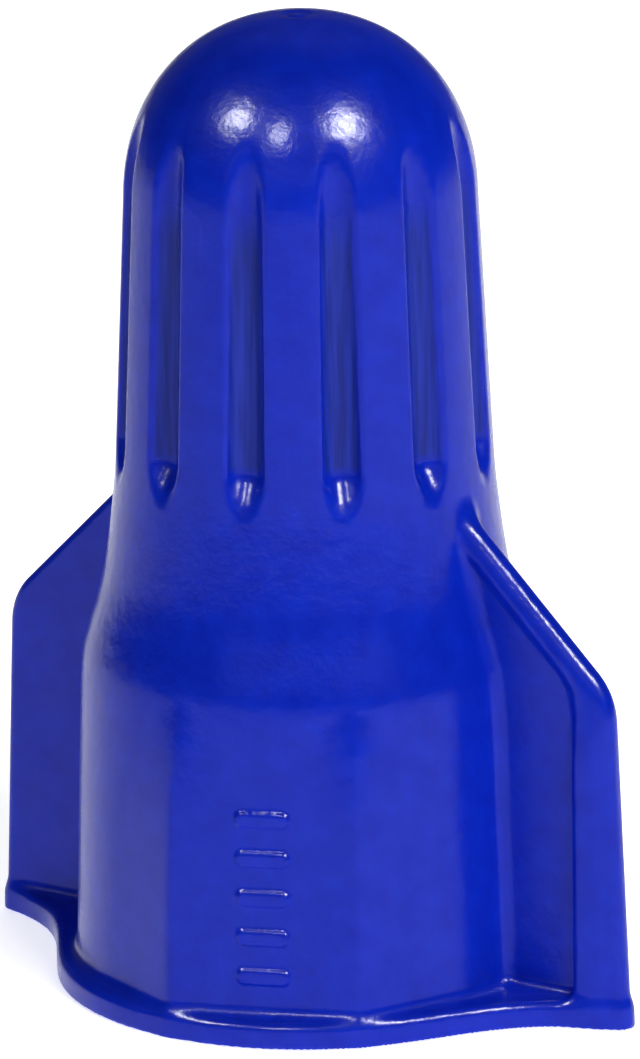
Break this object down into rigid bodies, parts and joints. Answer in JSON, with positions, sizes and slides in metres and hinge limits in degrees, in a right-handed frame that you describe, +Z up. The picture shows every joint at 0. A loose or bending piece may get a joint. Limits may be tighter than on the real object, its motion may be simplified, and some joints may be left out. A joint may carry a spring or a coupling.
{
  "type": "twist wire connector",
  "caption": "Winged twist-on wire connector: domed, fluted insulating shell with side wings, a skirted open mouth and a conical square-wire spring inside.",
  "frame": {"origin": "centre of the open base, on the plane that the foot flange stands on", "axes": "+Z up the shell's axis towards the domed end, +X along one wing, +Y at right angles to the wings"},
  "size_m": [0.0288, 0.02, 0.038],
  "materials": {
    "shell_plastic": "gloss, moulded",
    "spring_steel": "zinc plated"
  },
  "bodies": {
    "shell": {"insulating_shell": "shell_plastic"},
    "spring": {"conical_spring": "spring_steel"}
  },
  "joints": [
    {"name": "spring_unwind", "type": "hinge", "parent": "shell", "child": "spring", "pos_m": [0, 0, 0.0132], "axis": [0, 0, 1], "range_deg": [0, 60], "stiffness_Nm_per_rad": 0.117}
  ]
}
